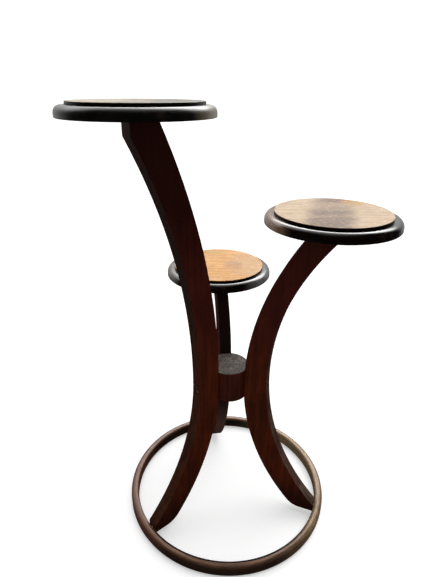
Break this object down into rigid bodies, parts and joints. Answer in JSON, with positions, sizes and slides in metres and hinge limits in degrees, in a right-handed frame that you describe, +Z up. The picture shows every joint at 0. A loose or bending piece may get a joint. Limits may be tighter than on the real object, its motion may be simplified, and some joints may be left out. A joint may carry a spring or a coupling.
{
  "type": "three-tier plant stand",
  "caption": "Wooden plant stand with round trays at stepped heights on bowed board legs round a turned hub, standing on a bentwood hoop.",
  "frame": {"origin": "on the floor, under the middle of the whole stand's bounding box", "axes": "+Z up; the low leg points along +Y from the hub's axis, the tall leg to -X and -Y at 210 degrees, the middle leg to +X and -Y at 330 degrees"},
  "size_m": [0.6164, 0.5485, 0.987],
  "materials": {
    "hoop_wood": "satin brown stain",
    "dark_wood": "satin dark mahogany stain",
    "tray_wood": "gloss, near black",
    "panel_oak": "satin clear lacquer",
    "dowel_wood": "bare",
    "screw_steel": "zinc plated",
    "screw_browned": "browned"
  },
  "bodies": {
    "root": {"base_hoop": "hoop_wood", "hub": "dark_wood", "leg_tall": "dark_wood", "leg_middle": "dark_wood", "leg_low": "dark_wood", "hub_screw_tall": "screw_browned", "hub_screw_middle": "screw_browned", "hub_screw_low": "screw_browned", "foot_dowel_tall": "dowel_wood", "foot_dowel_middle": "dowel_wood", "foot_dowel_low": "dowel_wood", "tray_tall": "tray_wood", "tray_middle": "tray_wood", "tray_low": "tray_wood", "tray_screws_tall": "screw_steel", "tray_screws_middle": "screw_steel", "tray_screws_low": "screw_steel", "tray_panel_tall": "panel_oak", "tray_panel_middle": "panel_oak", "tray_panel_low": "panel_oak"}
  },
  "joints": []
}
